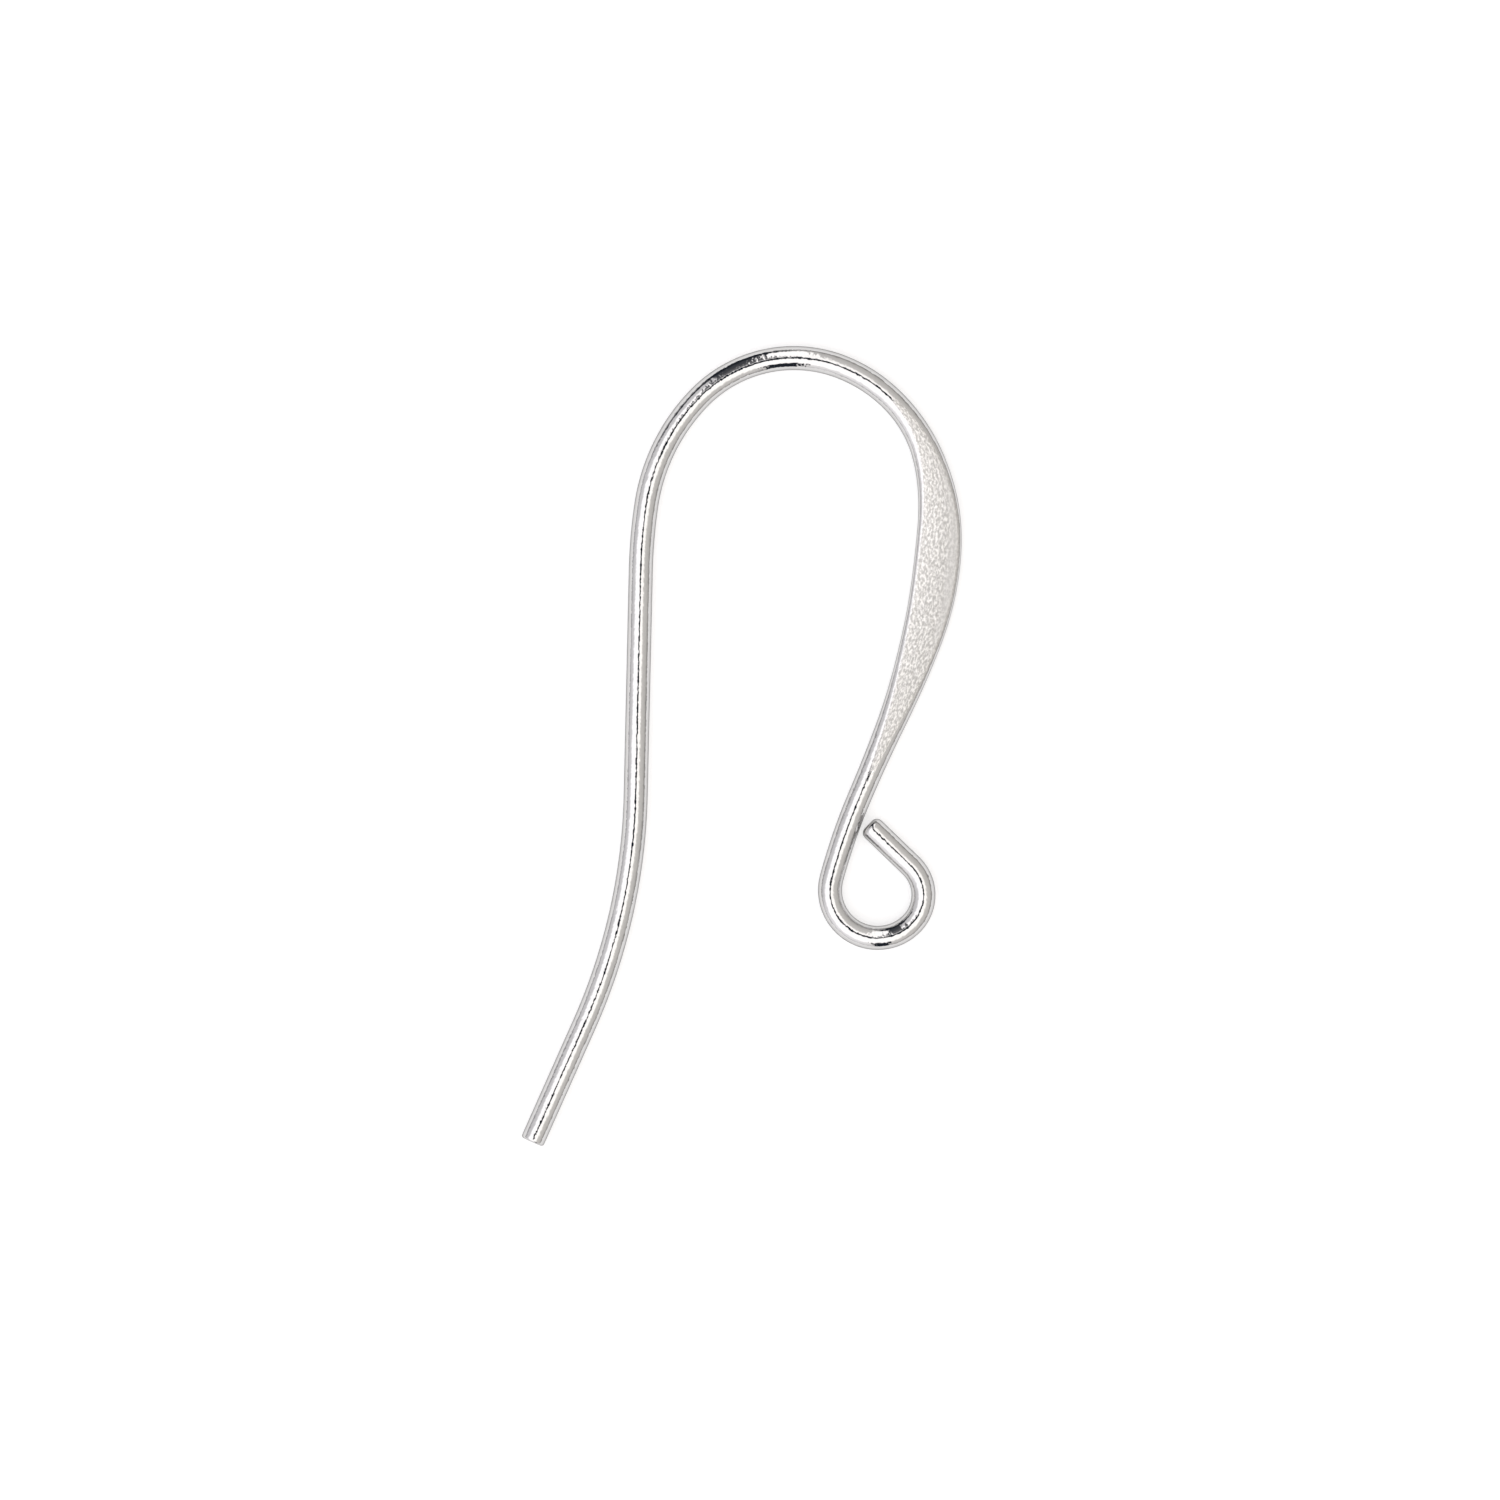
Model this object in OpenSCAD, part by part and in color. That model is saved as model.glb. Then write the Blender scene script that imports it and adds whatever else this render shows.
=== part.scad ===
// Ear wire bent from one length of round wire, lying on its side.
// From its blunt tip the wire runs up a long leg, over an arch and down a front that is
// pressed flat and wide, through a neck that is round again, and round an open loop
// whose tail stops just short of the neck.
// It lies on the plane z = 0 with the arch towards +Y and the leg on the -X side.
// The origin is at the middle of its outline, on that plane.

/* [Wire] */
// diameter of the round wire
wire_d = 0.72; // [0.6:0.02:0.9]
// rounding of the rim at the leg's tip
tip_round = 0.08; // [0.02:0.02:0.2]
// rounding of the rim at the tail's cut end
tail_round = 0.2; // [0.04:0.02:0.3]

/* [Leg] */
// direction of the leg at its tip, in degrees turned from +X towards +Y
tip_heading = 66; // [56:1:76]
// straight stretch above the tip
tip_length = 3.85; // [2:0.05:6]
// radius of the long bend above it, towards the arch
leg_bend_radius = 17.9; // [12:0.1:26]
// how far that bend turns
leg_bend_angle = 22.7; // [14:0.1:30]
// straight stretch in the middle of the leg
leg_length = 6.75; // [4:0.05:9]
// radius of the slow bend where the leg starts to lean over
lean_radius = 16; // [10:0.5:24]
// how far that bend turns
lean_angle = 7; // [3:0.5:12]

/* [Arch] */
// radius of the rising side of the arch
rise_radius = 5.85; // [4.5:0.05:8]
// how far the rising side turns
rise_angle = 35.5; // [28:0.5:42]
// radius over the crown, where the ear sits
crown_radius = 3.96; // [3:0.02:5]
// how far the crown turns
crown_angle = 68; // [60:0.5:76]
// radius of the shoulder that leads down into the front
shoulder_radius = 4.46; // [3.5:0.02:6]
// how far the shoulder turns
shoulder_angle = 50; // [42:0.5:58]

/* [Front] */
// radius of the upper front
front_top_radius = 6.4; // [5:0.1:9]
// how far the upper front turns
front_top_angle = 20.2; // [14:0.1:26]
// radius of the middle of the front
front_mid_radius = 12.3; // [9:0.1:18]
// how far the middle of the front turns
front_mid_angle = 14.5; // [10:0.1:20]
// radius of the lower front
front_low_radius = 25; // [16:0.5:40]
// how far the lower front turns
front_low_angle = 6.7; // [3:0.1:12]
// straight stretch at the top of the neck
neck_length = 2.2; // [1.5:0.05:4]
// radius of the neck, which bends back towards the loop
neck_radius = 19; // [12:0.5:30]
// how far the neck turns
neck_angle = 8; // [4:0.5:12]

/* [Flat] */
// width of the pressed front at its widest
flat_width = 1.4; // [1:0.02:1.8]
// round wire left on the shoulder before the flat begins
flat_lead = 1.4; // [0.6:0.05:2.6]
// length over which the flat widens
flat_widening = 5.7; // [4:0.05:7]
// length over which it narrows again
flat_narrowing = 7.5; // [6:0.05:9]
// how gently the width starts to grow at either end, as a power
flat_ease = 2.5; // [1:0.1:4]

/* [Loop] */
// radius of the loop, to the middle of the wire
loop_radius = 1.43; // [1.2:0.01:1.8]
// how far the loop turns at that radius
loop_angle = 152.5; // [145:0.5:160]
// radius of its last bend, into the tail
loop_end_radius = 1.22; // [1.05:0.01:1.4]
// how far the last bend turns
loop_end_angle = 88.7; // [80:0.1:95]
// straight tail, whose cut end faces the neck
tail_length = 1.78; // [1.2:0.02:1.84]

/* [Hidden] */
$fn = 48;
wire_r = wire_d / 2;
silver = [0.82, 0.82, 0.83];

// The centre line as a chain of stretches that meet without a kink.
// Columns: straight length, bend radius, turn in degrees (to the left is positive).
STRAIGHT = 0;
RADIUS = 1;
TURN = 2;
STRETCHES = [
    [tip_length, 0, 0],
    [0, leg_bend_radius, leg_bend_angle],
    [leg_length, 0, 0],
    [0, lean_radius, -lean_angle],
    [0, rise_radius, -rise_angle],
    [0, crown_radius, -crown_angle],
    [0, shoulder_radius, -shoulder_angle],
    [0, front_top_radius, -front_top_angle],
    [0, front_mid_radius, -front_mid_angle],
    [0, front_low_radius, -front_low_angle],
    [neck_length, 0, 0],
    [0, neck_radius, neck_angle],
    [0, loop_radius, loop_angle],
    [0, loop_end_radius, loop_end_angle],
    [tail_length, 0, 0]
];
LAST = len(STRETCHES) - 1;
SHOULDER = 6;

// length of a stretch, measured along the centre line
function stretch_length(s) = s[STRAIGHT] + s[RADIUS] * abs(s[TURN]) * PI / 180;

// degrees turned after a length along a stretch
function turned(s, length) = s[RADIUS] == 0 ? 0 : sign(s[TURN]) * length / s[RADIUS] * 180 / PI;

// unit vector of a heading, and the one square to it on its left
function ahead(heading) = [cos(heading), sin(heading)];
function leftward(heading) = [-sin(heading), cos(heading)];

// from a place [x, y, heading], the place a length further along a stretch
function onward(place, s, length) =
    let (h0 = place[2],
         h1 = h0 + turned(s, length),
         side = sign(s[TURN]) * s[RADIUS],
         from = [place[0], place[1]],
         to = s[RADIUS] == 0
            ? from + length * ahead(h0)
            : from + side * (leftward(h0) - leftward(h1)))
    [to[0], to[1], h1];

// where each stretch starts on the chain as first laid out from the tip,
// with one more entry for the end of the last stretch
function laid_out(first) = [
    for (i = 0, p = first; i <= LAST + 1;
         p = i <= LAST ? onward(p, STRETCHES[i], stretch_length(STRETCHES[i])) : p, i = i + 1) p
];
STARTS = [
    for (i = 0, s = 0; i <= LAST + 1;
         s = i <= LAST ? s + stretch_length(STRETCHES[i]) : s, i = i + 1) s
];
WIRE_LENGTH = STARTS[LAST + 1];
LAID = laid_out([0, 0, tip_heading]);

// stretch that a length from the tip falls on, and the place there
function stretch_at(s) = max([for (i = [0:LAST]) if (i == 0 || STARTS[i] <= s) i]);
function place_at(places, s) =
    let (i = stretch_at(s))
    onward(places[i], STRETCHES[i], s - STARTS[i]);

// the pressed front: where it begins, is widest and ends, measured from the tip
flat_from = STARTS[SHOULDER] + flat_lead;
flat_peak = flat_from + flat_widening;
flat_to = flat_peak + flat_narrowing;

// share of the full widening, from 0 at either end to 1 at the widest place
function spread(s) =
    s <= flat_from || s >= flat_to ? 0 :
    s < flat_peak
        ? pow(sin(90 * (s - flat_from) / flat_widening), flat_ease)
        : pow(sin(90 * (flat_to - s) / flat_narrowing), flat_ease);
function width_at(s) = wire_d + (flat_width - wire_d) * spread(s);

// thickness of the section whose area is that of the round wire:
// two flat faces between round edges, so its area is width * thickness less
// the four corners outside the edges
corner_share = 1 - PI / 4;
wire_area = PI * wire_r * wire_r;
function thickness_at(width) =
    (width - sqrt(width * width - 4 * corner_share * wire_area)) / (2 * corner_share);

// outline of the wire seen from above, for its overall size
outline_step = 0.05;
OUTLINE = [
    for (s = [tip_round : outline_step : WIRE_LENGTH - tail_round], side = [-1, 1])
        let (p = place_at(LAID, s))
        [p[0], p[1]] + side * width_at(s) / 2 * leftward(p[2])
];
// centre and rounding of each rounded corner of the two cut ends
function corners(s, round) = [
    for (side = [-1, 1])
        let (p = place_at(LAID, s),
             q = [p[0], p[1]] + side * (wire_r - round) * leftward(p[2]))
        [q[0], q[1], round]
];
CORNERS = concat(corners(tip_round, tip_round), corners(WIRE_LENGTH - tail_round, tail_round));
function lowest(axis) = min(
    min([for (q = OUTLINE) q[axis]]),
    min([for (q = CORNERS) q[axis] - q[2]]));
function highest(axis) = max(
    max([for (q = OUTLINE) q[axis]]),
    max([for (q = CORNERS) q[axis] + q[2]]));
middle = [(lowest(0) + highest(0)) / 2, (lowest(1) + highest(1)) / 2];
PLACES = laid_out([-middle[0], -middle[1], tip_heading]);

// rim of a cut end: quarter round from the end face to the wall, in a few steps
rim_steps = 5;
function rim(round) = [
    for (k = [0:rim_steps])
        let (a = 90 * k / rim_steps)
        [wire_r - round + round * sin(a), round - round * cos(a)]
];

// straight wire along +Z from a cut end with that rounding
module cut_length(length, round) {
    rotate_extrude()
        polygon(concat([[0, 0]], rim(round), [[wire_r, length], [0, length]]));
}

// Every second stretch is thinner by a hair and runs a little way into the cut faces
// of its neighbours, so the stretches join into one solid.
hair = 0.002;
lap = 0.02;
function round_r(i) = wire_r - hair * (i % 2);

// the part of one stretch between two lengths from its start, at the wire's own height
module wire_stretch(i, from, to) {
    s = STRETCHES[i];
    p = onward(PLACES[i], s, from);
    turn = turned(s, to) - turned(s, from);
    side = sign(s[TURN]);
    centre = [p[0], p[1]] + side * s[RADIUS] * leftward(p[2]);
    if (s[RADIUS] == 0 && i == 0)
        translate([p[0], p[1], wire_r])
            rotate([0, 90, p[2]])
                cut_length(to, tip_round);
    else if (s[RADIUS] == 0 && i == LAST) {
        q = onward(PLACES[i], s, to);
        translate([q[0], q[1], wire_r])
            rotate([0, 90, q[2] + 180])
                cut_length(to - from, tail_round);
    }
    else if (s[RADIUS] == 0)
        translate([p[0], p[1], wire_r])
            rotate([0, 90, p[2]])
                cylinder(r = round_r(i), h = to - from);
    else
        translate([centre[0], centre[1], wire_r])
            rotate([0, 0, p[2] - 90 * side + min(turn, 0)])
                rotate_extrude(angle = abs(turn))
                    translate([s[RADIUS], 0])
                        circle(r = round_r(i));
}

// The flat's sections are smaller all round by two hairs, and its ends run into the
// round wire in the same way.
inset = 2 * hair;
ring_sides = 32;
ring_step = 0.28;
ring_count = ceil((flat_to - flat_from + 2 * lap) / ring_step);

// section square to the wire: two half circles joined by flat faces above and below
function section(s) =
    let (p = place_at(PLACES, s),
         w = width_at(s) - 2 * inset,
         t = thickness_at(width_at(s)) - 2 * inset)
    [for (k = [0:ring_sides - 1])
        let (a = 360 * k / ring_sides,
             across = sign(cos(a)) * (w - t) / 2 + t / 2 * cos(a),
             q = [p[0], p[1]] + across * leftward(p[2]))
        [q[0], q[1], wire_r + t / 2 * sin(a)]
    ];

// pressed front, as one closed skin of sections joined ring to ring
module flat_front() {
    step = (flat_to - flat_from + 2 * lap) / ring_count;
    rings = [for (k = [0:ring_count]) section(flat_from - lap + k * step)];
    points = [for (ring = rings) each ring];
    walls = [
        for (k = [0:ring_count - 1], j = [0:ring_sides - 1])
            let (a = k * ring_sides + j,
                 b = k * ring_sides + (j + 1) % ring_sides)
            each [[a, a + ring_sides, b], [b, a + ring_sides, b + ring_sides]]
    ];
    end = ring_count * ring_sides;
    caps = [
        for (j = [1:ring_sides - 2])
            each [[0, j, j + 1], [end, end + j + 1, end + j]]
    ];
    polyhedron(points, concat(walls, caps));
}

module ear_wire() {
    color(silver) {
        for (i = [0:LAST]) {
            length = STARTS[i + 1] - STARTS[i];
            before = min(length, flat_from - STARTS[i]);
            after = max(0, flat_to - STARTS[i]);
            reach = lap * (i % 2);
            if (before > 0)
                wire_stretch(i, -reach, before < length ? before : length + reach);
            else if (after < length)
                wire_stretch(i, after > 0 ? after : -reach, length + reach);
        }
        flat_front();
    }
}

ear_wire();
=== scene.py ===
import math

import bpy
import numpy as np
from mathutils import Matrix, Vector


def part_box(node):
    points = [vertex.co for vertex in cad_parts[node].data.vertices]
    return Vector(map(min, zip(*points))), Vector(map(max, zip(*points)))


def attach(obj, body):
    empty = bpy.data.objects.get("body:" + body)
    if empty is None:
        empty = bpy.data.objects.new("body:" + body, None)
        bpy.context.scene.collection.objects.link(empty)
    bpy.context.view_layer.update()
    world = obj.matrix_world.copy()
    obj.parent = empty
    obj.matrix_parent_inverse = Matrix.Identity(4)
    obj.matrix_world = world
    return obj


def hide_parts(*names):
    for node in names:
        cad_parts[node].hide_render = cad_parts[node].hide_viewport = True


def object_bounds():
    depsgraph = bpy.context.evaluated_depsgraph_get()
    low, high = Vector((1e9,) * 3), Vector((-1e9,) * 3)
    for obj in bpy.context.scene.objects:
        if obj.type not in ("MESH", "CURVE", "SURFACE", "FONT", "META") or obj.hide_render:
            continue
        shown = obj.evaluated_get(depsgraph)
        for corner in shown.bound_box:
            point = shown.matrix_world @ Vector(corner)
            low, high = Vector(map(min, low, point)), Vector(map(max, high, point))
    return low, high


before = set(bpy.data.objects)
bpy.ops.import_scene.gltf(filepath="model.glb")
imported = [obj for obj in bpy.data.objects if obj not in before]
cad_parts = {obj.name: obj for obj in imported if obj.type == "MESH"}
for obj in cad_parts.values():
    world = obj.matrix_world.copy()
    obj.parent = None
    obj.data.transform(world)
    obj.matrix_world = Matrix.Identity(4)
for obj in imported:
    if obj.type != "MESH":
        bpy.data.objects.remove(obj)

cad_low, cad_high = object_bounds()

MM = 0.001

# Round wire and its cut ends, in millimetres.
WIRE_D = 0.72
WIRE_R = WIRE_D / 2
TIP_ROUND = 0.08
TAIL_ROUND = 0.2

# The wire's centre line from the tip of the leg to the end of the tail, as stretches that meet
# without a kink. Columns: straight length, bend radius (both in millimetres) and turn in degrees,
# to the left positive.
TIP_HEADING = 66.0
STRETCHES = (
    (3.85, 0.0, 0.0),  # leg, above the tip
    (0.0, 17.9, 22.7),  # long bend of the leg
    (6.75, 0.0, 0.0),  # middle of the leg
    (0.0, 16.0, -7.0),  # leg leaning over
    (0.0, 5.85, -35.5),  # rising side of the arch
    (0.0, 3.96, -68.0),  # crown
    (0.0, 4.46, -50.0),  # shoulder
    (0.0, 6.4, -20.2),  # upper front
    (0.0, 12.3, -14.5),  # middle of the front
    (0.0, 25.0, -6.7),  # lower front
    (2.2, 0.0, 0.0),  # top of the neck
    (0.0, 19.0, 8.0),  # neck
    (0.0, 1.43, 152.5),  # loop
    (0.0, 1.22, 88.7),  # last bend of the loop
    (1.78, 0.0, 0.0),  # tail
)
SHOULDER = 6

# Pressed front, in millimetres.
FLAT_WIDTH = 1.4
FLAT_LEAD = 1.4
FLAT_WIDENING = 5.7
FLAT_NARROWING = 7.5
FLAT_EASE = 2.5
FLAT_DOME = 0.2  # how much thicker the middle of the flat is than its rims, as a share

# Satin on the two faces of the flat, in millimetres: how far it runs over the rims on the arch's
# outer and inner side, how softly it ends, and its relief.
SATIN_OUTER = 0.12
SATIN_INNER = 0.05
SATIN_FADE = 0.04
RELIEF_FADE = 0.15
GRAIN_SIZE = 0.085
GRAIN_HEIGHT = 0.007
GRAIN_ALONG = 0.85  # how tightly the grain is packed along the wire
GRAIN_ACROSS = 1.15  # and across it
FINE_SHARE = 0.6
LATTICE = 256

# Share of the full widening at which the satin is complete, at the shoulder and at the neck.
SATIN_FROM = 0.01
SATIN_TO = 0.04

# Wear of the satin and painted shade on it, one mask that grows from the inner side of the flat to
# the outer one and is less towards the neck. The wear flattens the grain; the painted shade makes
# the satin's colour lighter on the inner side and darker towards the outer side.
WEAR_AND_SHADE_REACH = 0.5  # millimetres to either side of the flat's middle over which it grows
NECK_SPARED = 0.4  # share of the wear and painted shade that is missing at the neck
CALM_FROM = 0.75  # wear past which the grain gets flatter
CALM_MOST = 0.55  # share of the grain that is gone where the wear is full

# Rows of the surface along the wire and corners round it.
SIDES = 72
ROW_STEP = 0.08
FLAT_ROW_STEP = 0.032
RIM_ROWS = 12
FACE_ROWS = 6

# Colours, as shares of the light sent back.
POLISHED = (0.63, 0.627, 0.624, 1.0)
POLISHED_EDGE = (0.3, 0.3, 0.3, 1.0)
SATIN_DARK = (0.485, 0.477, 0.46, 1.0)
SATIN_LIGHT = (0.855, 0.844, 0.82, 1.0)
SATIN_WORN = (0.63, 0.624, 0.61, 1.0)
FLOOR_TONE = (0.62, 0.62, 0.62, 1.0)
FLOOR_GLOW = 0.5
WHITE = (1.0, 1.0, 1.0, 1.0)
COOL_SIDE = (0.995, 0.975, 1.0, 1.0)
WARM_SIDE = (1.0, 0.965, 0.93, 1.0)
DARK_STAND = (0.02, 0.025, 0.035, 1.0)

# Photograph's framing: a square of the floor, in millimetres, seen from straight above.
VIEW_SIZE = 45.0
VIEW_CENTRE = (0.243, -0.123)
LENS = 300.0
SENSOR = 36.0

# Floor: its radius in metres, the corners of its rim, and its gap under the wire in metres.
FLOOR_RADIUS = 2.0
FLOOR_SIDES = 96
FLOOR_GAP = 0.000002


def stretch_lengths():
    """Length of each stretch along the centre line: its straight length, or radius times turn."""
    table = np.array(STRETCHES)
    return table[:, 0] + table[:, 1] * np.radians(np.abs(table[:, 2]))


def along(place, stretch, length):
    """Place [x, y, heading] a length further along a stretch. On a straight one it moves ahead;
    on a bend of radius r it goes round a centre that lies r to the side of the turn."""
    straight, radius, turn = stretch
    x, y, heading = place
    if radius == 0:
        return x + length * np.cos(heading), y + length * np.sin(heading), heading + 0 * length
    side = math.copysign(radius, turn)
    ahead = heading + length / side
    return (
        x + side * (np.sin(ahead) - np.sin(heading)),
        y + side * (np.cos(heading) - np.cos(ahead)),
        ahead,
    )


def centre_line(s):
    """x, y and heading of the centre line at the lengths s from the tip, each on the stretch that
    it falls on. Lengths before the tip or past the tail's end go straight on."""
    lengths = stretch_lengths()
    starts = np.concatenate([[0.0], np.cumsum(lengths)])
    which = np.clip(np.searchsorted(starts, s, side="right") - 1, 0, len(STRETCHES) - 1)
    x, y, heading = np.zeros_like(s), np.zeros_like(s), np.zeros_like(s)
    place = (0.0, 0.0, math.radians(TIP_HEADING))
    for i, stretch in enumerate(STRETCHES):
        here = which == i
        x[here], y[here], heading[here] = along(place, stretch, s[here] - starts[i])
        place = tuple(float(v) for v in along(place, stretch, lengths[i]))
    return x, y, heading


def flat_ends():
    """Lengths from the tip at which the flat begins, is widest and ends."""
    begin = float(np.sum(stretch_lengths()[:SHOULDER])) + FLAT_LEAD
    return begin, begin + FLAT_WIDENING, begin + FLAT_WIDENING + FLAT_NARROWING


def spread(s):
    """Share of the full widening at the lengths s: sine of the way in from the nearer end of the
    flat, to the power FLAT_EASE, and 0 on the round wire."""
    begin, peak, end = flat_ends()
    way = np.where(s < peak, (s - begin) / FLAT_WIDENING, (end - s) / FLAT_NARROWING)
    return np.sin(0.5 * np.pi * np.clip(way, 0.0, 1.0)) ** FLAT_EASE


def thickness(width):
    """Thickness of a section of that width whose area is the round wire's. The section is
    width times thickness less the four corners outside its round edges."""
    corners = 1.0 - np.pi / 4.0
    area = np.pi * WIRE_R**2
    return (width - np.sqrt(width**2 - 4.0 * corners * area)) / (2.0 * corners)


def section(width, thick, around):
    """Offsets across and up of a section: two flat faces between half-circle edges. around is the
    way round it as a share of its perimeter, from the left edge over the top. Also gives how far
    the point is onto a flat face, in millimetres from the nearer rim, negative on the edges."""
    flat = width - thick
    quarter = 0.25 * np.pi * thick
    way = around * (2.0 * flat + 4.0 * quarter)
    top = np.clip(way - quarter, 0.0, flat)
    bottom = np.clip(way - 3.0 * quarter - flat, 0.0, flat)
    angle = 2.0 * (way - top - bottom) / thick
    across = 0.5 * flat + 0.5 * thick * np.cos(angle) - top + bottom
    up = 0.5 * thick * np.sin(angle)
    onto = 0.5 * flat - np.abs(across)
    return across, up, onto


def noise(x, y, size, seed):
    """Smooth random height between -1 and 1 over the plane: random values on a square lattice of
    that size, blended between neighbours with a smooth step."""
    values = np.random.default_rng(seed).uniform(-1.0, 1.0, (LATTICE, LATTICE))
    u, v = x / size, y / size
    i, j = np.floor(u).astype(int), np.floor(v).astype(int)
    fu, fv = u - i, v - j
    fu, fv = fu * fu * (3.0 - 2.0 * fu), fv * fv * (3.0 - 2.0 * fv)
    i, j = i % LATTICE, j % LATTICE
    right, above = (i + 1) % LATTICE, (j + 1) % LATTICE
    near = values[i, j] * (1.0 - fu) + values[right, j] * fu
    far = values[i, above] * (1.0 - fu) + values[right, above] * fu
    return near * (1.0 - fv) + far * fv


def cut_end(rounding):
    """Rows out over the face of a cut end and round its rim, a quarter circle of that radius:
    how far each is from the end, and its size as a share of the full section."""
    face = (1.0 - rounding / WIRE_R) * np.arange(1, FACE_ROWS + 1) / FACE_ROWS
    angle = 0.5 * np.pi * np.arange(1, RIM_ROWS + 1) / RIM_ROWS
    rim = 1.0 - (rounding / WIRE_R) * (1.0 - np.sin(angle))
    inward = np.concatenate([np.zeros(FACE_ROWS), rounding * (1.0 - np.cos(angle))])
    return inward, np.concatenate([face, rim])


def wire_rows():
    """Lengths from the tip of the surface's rows, and each row's size as a share of the full
    section, from one cut end to the other."""
    total = float(np.sum(stretch_lengths()))
    begin, _, end = flat_ends()
    tip_inward, tip_size = cut_end(TIP_ROUND)
    tail_inward, tail_size = cut_end(TAIL_ROUND)
    spans = (
        (TIP_ROUND, begin, ROW_STEP),
        (begin, end, FLAT_ROW_STEP),
        (end, total - TAIL_ROUND, ROW_STEP),
    )
    walls = [np.linspace(a, b, int((b - a) / step) + 2)[1:] for a, b, step in spans]
    wall = np.concatenate(walls)[:-1]
    s = np.concatenate([tip_inward, wall, total - tail_inward[::-1]])
    share = np.concatenate([tip_size, np.ones(len(wall)), tail_size[::-1]])
    return s, share


def smooth(value, low, high):
    """Smooth step: 0 below low, 1 above high."""
    t = np.clip((value - low) / (high - low), 0.0, 1.0)
    return t * t * (3.0 - 2.0 * t)


def satin_share(s, across, onto):
    """Share of satin at each corner: 1 on the flat faces and a little way over their rims, 0 on
    the edges, and starting with the widening at the lengths s."""
    beyond = np.where(across > 0.0, SATIN_OUTER, SATIN_INNER)
    full = np.where(s < flat_ends()[1], SATIN_FROM, SATIN_TO)
    begun = smooth(spread(s) / full, 0.0, 1.0)
    return smooth(onto + beyond, 0.0, SATIN_FADE) * begun[:, None]


def satin_wear_and_shade(s, across):
    """How worn the satin is, and how much painted shade its colour gets, at each corner: 0 on the
    inner side of the flat and 1 on the outer, and less towards the neck."""
    _, peak, end = flat_ends()
    spared = NECK_SPARED * smooth(s, peak, end)
    return smooth(across, -WEAR_AND_SHADE_REACH, WEAR_AND_SHADE_REACH) * (1.0 - spared[:, None])


def wire_surface():
    """Corners of the whole wire as a grid of rows by sides, in millimetres, with its poles, the
    share of satin and the wear of each corner, and the ways along and round it."""
    s, share = wire_rows()
    x, y, heading = centre_line(s)
    width = WIRE_D + (FLAT_WIDTH - WIRE_D) * spread(s)
    thick = thickness(width)
    around = np.arange(SIDES) / SIDES
    across, up, onto = section(width[:, None], thick[:, None], around[None, :])
    dome = FLAT_DOME * spread(s)[:, None] * (1.0 - (2.0 * across / width[:, None]) ** 2)
    up = up * (1.0 + dome)
    satin = satin_share(s, across, onto)
    # mask of the satin's wear and of the painted shade on its colour
    wear_and_shade = satin_wear_and_shade(s, across)
    across, up = across * share[:, None], up * share[:, None]
    px = x[:, None] - across * np.sin(heading)[:, None]
    py = y[:, None] + across * np.cos(heading)[:, None]
    u, v = GRAIN_ALONG * s[:, None], GRAIN_ACROSS * across
    relief = noise(u, v, GRAIN_SIZE, 3) + FINE_SHARE * noise(u, v, 0.5 * GRAIN_SIZE, 4)
    calm = 1.0 - CALM_MOST * smooth(wear_and_shade, CALM_FROM, 1.0)
    rough = GRAIN_HEIGHT * satin * calm * smooth(onto, 0.0, RELIEF_FADE)
    pz = WIRE_R + up + rough * relief * np.sign(up)
    grid = np.stack([px, py, pz], axis=2)
    poles = np.array([[x[0], y[0], WIRE_R], [x[-1], y[-1], WIRE_R]])
    return grid, poles, satin, wear_and_shade, s, around


def grid_faces(rows, sides):
    """Quads between neighbouring rows of a closed tube, row by row, facing out, and a fan of
    triangles from each pole, whose corners come after the grid's."""
    k, j = np.meshgrid(np.arange(rows - 1), np.arange(sides), indexing="ij")
    a, b = k * sides + j, k * sides + (j + 1) % sides
    quads = np.stack([a, b, b + sides, a + sides], axis=2).reshape(-1, 4)
    j = np.arange(sides)
    turn = (j + 1) % sides
    first, last = rows * sides, rows * sides + 1
    start = np.stack([np.full(sides, first), turn, j], axis=1)
    row = (rows - 1) * sides
    stop = np.stack([np.full(sides, last), row + j, row + turn], axis=1)
    return quads, np.concatenate([start, stop])


def make_mesh(name, points, quads, fans):
    """Mesh object of those corners, with every face smooth."""
    mesh = bpy.data.meshes.new(name)
    mesh.from_pydata(points.tolist(), [], quads.tolist() + fans.tolist())
    mesh.polygons.foreach_set("use_smooth", np.ones(len(mesh.polygons), dtype=bool))
    piece = bpy.data.objects.new(name, mesh)
    bpy.context.scene.collection.objects.link(piece)
    return piece


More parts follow.
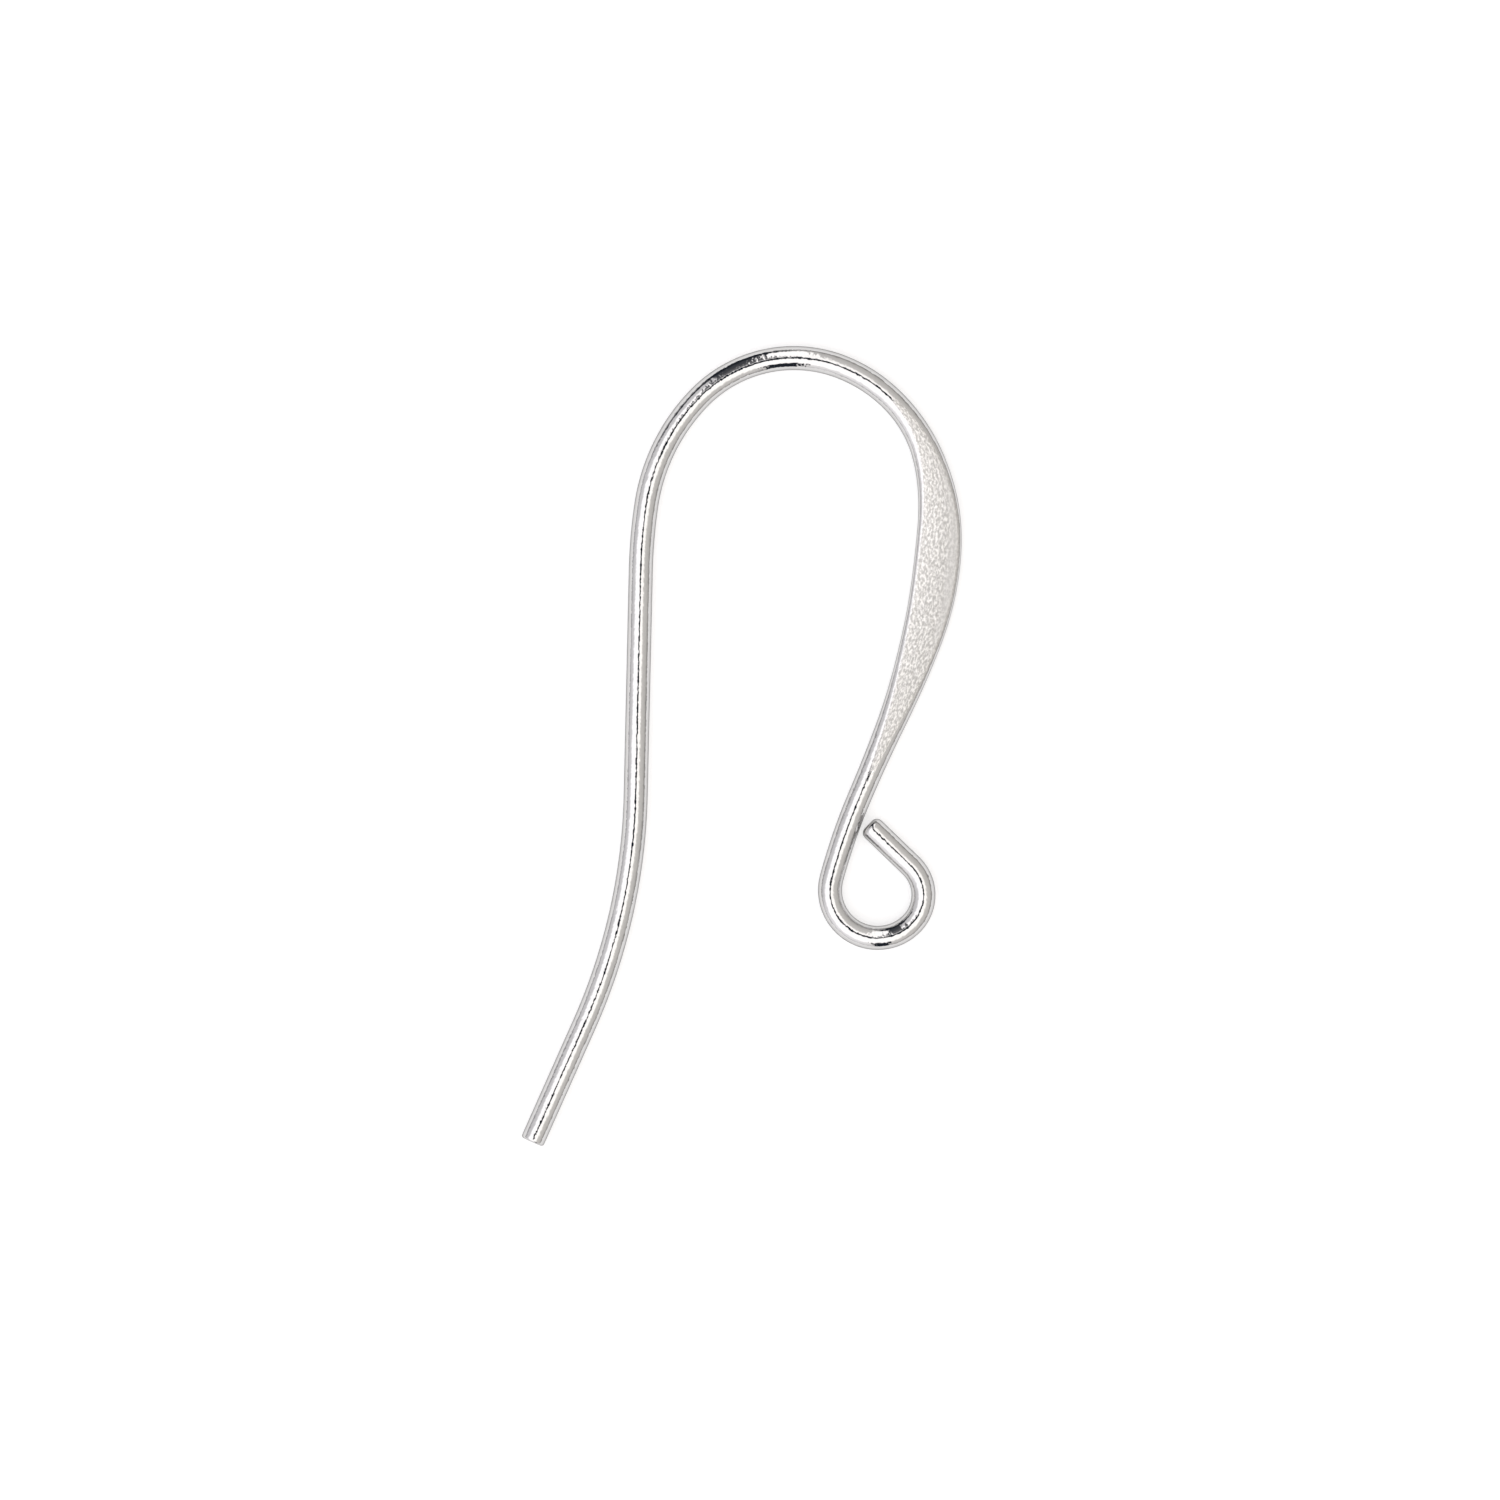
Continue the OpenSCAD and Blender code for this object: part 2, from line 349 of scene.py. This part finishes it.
def polished_wire():
    """The whole ear wire as one skin, put where the CAD node is: its outline's middle on the
    node's middle, and its lowest side on the floor."""
    grid, poles, satin, wear_and_shade, s, around = wire_surface()
    rows, sides = grid.shape[:2]
    quads, fans = grid_faces(rows, sides)
    points = np.concatenate([grid.reshape(-1, 3), poles])
    low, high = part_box("ear_wire")
    middle = 0.5 * (np.array(low) + np.array(high)) / MM
    points[:, :2] += middle[:2] - 0.5 * (points[:, :2].min(axis=0) + points[:, :2].max(axis=0))
    points[:, 2] += low[2] / MM
    piece = make_mesh("polished_wire", points * MM, quads, fans)
    mesh = piece.data
    # the second mask carries the satin's wear and the painted shade on its colour
    for name, share in (("satin", satin), ("wear_and_shade", wear_and_shade)):
        mark = mesh.attributes.new(name, "FLOAT", "POINT")
        mark.data.foreach_set("value", np.concatenate([share.ravel(), [0.0, 0.0]]))
    along_wire = np.concatenate([np.repeat(s, sides), [s[0], s[-1]]])
    way = np.concatenate([np.tile(around, rows), [0.0, 0.0]])
    corner = np.zeros(len(mesh.loops), dtype=int)
    mesh.loops.foreach_get("vertex_index", corner)
    u, v = along_wire[corner], way[corner]
    last = np.zeros(len(corner), dtype=bool)
    quad_corners = quads.size
    last[:quad_corners] = np.tile([False, True, True, False], len(quads))
    v = np.where(last & (v == 0.0), 1.0, v)
    layer = mesh.uv_layers.new(name="wire_way")
    layer.data.foreach_set("uv", np.stack([u, v * np.pi * WIRE_D], axis=1).ravel())
    return piece


class Shade:
    """An output of a node in a shader, so that shader maths is written as an expression."""

    def __init__(self, tree, socket=None):
        self.tree = tree
        self.socket = socket

    def node(self, kind, settings=None, values=None, output=0):
        """Adds a node of that type, with its settings and the values or links of its sockets,
        and gives one of its outputs."""
        made = self.tree.nodes.new(kind)
        for name, value in (settings or {}).items():
            setattr(made, name, value)
        for name, value in (values or {}).items():
            if isinstance(value, Shade):
                self.tree.links.new(value.socket, made.inputs[name])
            else:
                made.inputs[name].default_value = value
        return Shade(self.tree, made.outputs[output] if made.outputs else None)

    def math(self, operation, *values):
        """The result of that operation on the values."""
        return self.node("ShaderNodeMath", {"operation": operation}, dict(enumerate(values)))

    def __add__(self, other):
        return self.math("ADD", self, other)

    def __radd__(self, other):
        return self.math("ADD", other, self)

    def __sub__(self, other):
        return self.math("SUBTRACT", self, other)

    def __rsub__(self, other):
        return self.math("SUBTRACT", other, self)

    def __mul__(self, other):
        return self.math("MULTIPLY", self, other)

    def __rmul__(self, other):
        return self.math("MULTIPLY", other, self)

    def step(self, low, high):
        """Smooth step of the value: 0 at low and 1 at high."""
        values = {"Value": self, "From Min": low, "From Max": high, "To Min": 0.0, "To Max": 1.0}
        return self.node("ShaderNodeMapRange", {"interpolation_type": "SMOOTHSTEP"}, values)

    def mix(self, first, second):
        """Colour that is first where the value is 0 and second where it is 1."""
        values = {0: self, 6: first, 7: second}
        return self.node("ShaderNodeMix", {"data_type": "RGBA"}, values, 2)

    def times(self, colour):
        """The colour scaled by the value."""
        return self.node("ShaderNodeVectorMath", {"operation": "SCALE"}, {0: colour, "Scale": self})

    def axes(self):
        """The vector's x, y and z."""
        x = self.node("ShaderNodeSeparateXYZ", None, {0: self})
        outs = x.socket.node.outputs
        return [Shade(self.tree, out) for out in outs]


def new_material(name):
    """An empty node material and the start of its expressions."""
    material = bpy.data.materials.new(name)
    material.use_nodes = True
    material.node_tree.nodes.clear()
    return material, Shade(material.node_tree)


def finish_material(start, values):
    """Ends a material in one shader with those values."""
    shader = start.node("ShaderNodeBsdfPrincipled", None, values)
    start.node("ShaderNodeOutputMaterial", None, {"Surface": shader})


def silver_finish():
    """Bright polished silver, with faint waves and draw lines along the wire, and on the pressed
    faces a satin grain of light specks, a little longer along the wire, that wears flatter towards
    the outer side. On the faces the colour also carries painted shade: a little lighter on the
    inner side and darker towards the outer side."""
    material, start = new_material("polished_silver")
    satin = start.node("ShaderNodeAttribute", {"attribute_name": "satin"}, None, 2)
    # wear of the satin and painted shade: 0 on the flat's inner side, 1 on its outer side
    wear_and_shade = start.node("ShaderNodeAttribute", {"attribute_name": "wear_and_shade"}, None, 2)
    place = start.node("ShaderNodeTexCoord", None, None, 3)
    way = start.node("ShaderNodeUVMap", {"uv_map": "wire_way"})
    packed = start.node(
        "ShaderNodeVectorMath", {"operation": "MULTIPLY"}, {0: way, 1: (8.5, 20.0, 1.0)}
    )
    grain = start.node(
        "ShaderNodeTexNoise",
        None,
        {"Vector": packed, "Scale": 1.0, "Detail": 3.0, "Roughness": 0.6},
    )
    waves = start.node(
        "ShaderNodeTexNoise", None, {"Vector": place, "Scale": 7000.0, "Detail": 1.0}
    )
    stretched = start.node(
        "ShaderNodeVectorMath", {"operation": "MULTIPLY"}, {0: way, 1: (1.2, 30.0, 1.0)}
    )
    lines = start.node(
        "ShaderNodeTexNoise", None, {"Vector": stretched, "Scale": 1.0, "Detail": 2.0}
    )
    calm = wear_and_shade.step(CALM_FROM, 1.0) * CALM_MOST
    height = satin * grain * (1.0 - calm) * 9.0 + (1.0 - satin) * (waves * 8.0 + lines)
    bump = start.node(
        "ShaderNodeBump", None, {"Height": height, "Distance": 0.000001, "Strength": 1.0}
    )
    speck = grain.step(0.39, 0.65).mix(SATIN_DARK, SATIN_LIGHT)
    # painted shade: the satin's colour is scaled from 1.06 on the inner side of the flat to 0.89 at
    # the outer side
    faces = (1.06 - wear_and_shade * 0.17).times(calm.mix(speck, SATIN_WORN))
    colour = satin.mix(POLISHED, faces)
    roughness = 0.04 + satin * 0.4
    values = {
        "Base Color": colour,
        "Metallic": 1.0,
        "Roughness": roughness,
        "Specular Tint": POLISHED_EDGE,
        "Normal": bump,
    }
    finish_material(start, values)
    return material


def floor_finish():
    """Plain pale matt floor that glows a little, like a light table."""
    material, start = new_material("pale_floor")
    values = {
        "Base Color": FLOOR_TONE,
        "Roughness": 1.0,
        "Specular IOR Level": 0.0,
        "Emission Color": WHITE,
        "Emission Strength": FLOOR_GLOW,
    }
    finish_material(start, values)
    return material


def pale_floor():
    """Round floor, a ring of corners about one pole, just under the wire's lowest side."""
    j = np.arange(FLOOR_SIDES)
    angle = 2.0 * np.pi * j / FLOOR_SIDES
    ring = FLOOR_RADIUS * np.stack([np.cos(angle), np.sin(angle), 0.0 * angle], axis=1)
    points = np.concatenate([ring, [[0.0, 0.0, 0.0]]])
    points[:, 2] += cad_low[2] - FLOOR_GAP
    fan = np.stack([np.full(FLOOR_SIDES, FLOOR_SIDES), j, (j + 1) % FLOOR_SIDES], axis=1)
    return make_mesh("floor", points, np.zeros((0, 4), dtype=int), fan)


def direction(polar, azimuth):
    """Unit vector at an angle from straight up and a compass angle from +X towards +Y, both in
    degrees."""
    p, a = math.radians(polar), math.radians(azimuth)
    return math.sin(p) * math.cos(a), math.sin(p) * math.sin(a), math.cos(p)


def cosine(degrees):
    """Cosine of an angle in degrees."""
    return math.cos(math.radians(degrees))


class Sky:
    """The direction of a ray into the room, and how near it lies to other directions."""

    def __init__(self, start):
        self.x, self.y, self.z = start.node("ShaderNodeTexCoord").axes()

    def towards(self, polar, azimuth):
        """Cosine of the angle between the ray and that direction."""
        x, y, z = direction(polar, azimuth)
        return self.x * x + self.y * y + self.z * z

    def band(self, azimuth, inner, outer):
        """1 near the upright plane that runs at that compass angle and 0 far from it, softly
        between the two distances from it, given as sines."""
        distance = self.towards(90.0, azimuth - 90.0)
        return 1.0 - (distance * distance).step(inner * inner, outer * outer)


def room_brightness(sky):
    """How bright the walls and the wide light are in each direction. The light is overhead, a
    little to the lower left, with a lit gap beyond it over the arch. The walls grow darker down
    to the floor and to the upper right."""
    z = sky.z
    walls = 0.42 + 0.28 * z.step(0.0, 0.35) + 0.25 * z - 0.12 * sky.towards(90.0, 45.0)
    walls = walls + 0.32 * sky.towards(90.0, -125.0).step(0.6, 0.95)
    overhead = sky.towards(17.0, -124.0).step(cosine(49.0), cosine(34.0))
    over_arch = z.step(0.25, 0.5) * sky.towards(90.0, 92.0).step(0.3, 0.5)
    gap = sky.band(92.0, 0.1054, 0.1826) * over_arch
    lit = 1.0 - (1.0 - overhead) * (1.0 - gap)
    return lit * (1.66 - walls) + walls


def dark_things(sky):
    """Share of darkness in each direction: the camera straight above, the stand's leg down to
    the top left with its base, and its foot on the near side."""
    x, y, z = sky.x, sky.y, sky.z
    camera = 1.0 - (x * x * 65.0 + y * y * 42.0).step(0.5, 1.4)
    side = sky.towards(90.0, 24.0)
    narrow = side * side * (12.0 + 90.0 * z * z)
    leg = (1.0 - narrow.step(0.4, 1.6)) * sky.towards(90.0, 114.0).step(0.05, 0.3)
    low = z - 0.3
    base = (1.0 - (low * low).step(0.00727, 0.0291)) * sky.towards(90.0, 122.0).step(0.76, 0.88)
    foot = sky.band(-85.5, 0.1091, 0.1759) * sky.towards(90.0, -85.5).step(0.70, 0.80)
    clear = (1.0 - camera) * (1.0 - leg * (1.0 - 0.1 * z)) * (1.0 - base * 0.95) * (1.0 - foot)
    return 1.0 - clear


def soft_room():
    """Light from all round: pale walls and a wide soft light, cooler on the left and warmer on
    the right, and the dark camera on its stand."""
    world = bpy.data.worlds.new("soft_room")
    bpy.context.scene.world = world
    world.use_nodes = True
    world.node_tree.nodes.clear()
    start = Shade(world.node_tree)
    sky = Sky(start)
    tint = sky.x.step(-0.7, 0.7).mix(COOL_SIDE, WARM_SIDE)
    room = room_brightness(sky).times(tint)
    colour = dark_things(sky).mix(room, DARK_STAND)
    background = start.node("ShaderNodeBackground", None, {"Color": colour, "Strength": 1.0})
    start.node("ShaderNodeOutputWorld", None, {"Surface": background})


def camera_above():
    """Long lens straight above, framed as in the photograph."""
    data = bpy.data.cameras.new("camera")
    data.lens = LENS
    data.sensor_width = SENSOR
    data.clip_start = 0.01
    data.clip_end = 10.0
    camera = bpy.data.objects.new("camera", data)
    height = VIEW_SIZE * LENS / SENSOR
    camera.location = (
        VIEW_CENTRE[0] * MM,
        VIEW_CENTRE[1] * MM,
        (WIRE_R + height) * MM,
    )
    bpy.context.scene.collection.objects.link(camera)
    bpy.context.scene.camera = camera


wire = polished_wire()
wire.data.materials.append(silver_finish())
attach(wire, "root")
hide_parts("ear_wire")

floor = pale_floor()
floor.data.materials.append(floor_finish())

soft_room()
camera_above()
bpy.context.scene.view_settings.view_transform = "Standard"
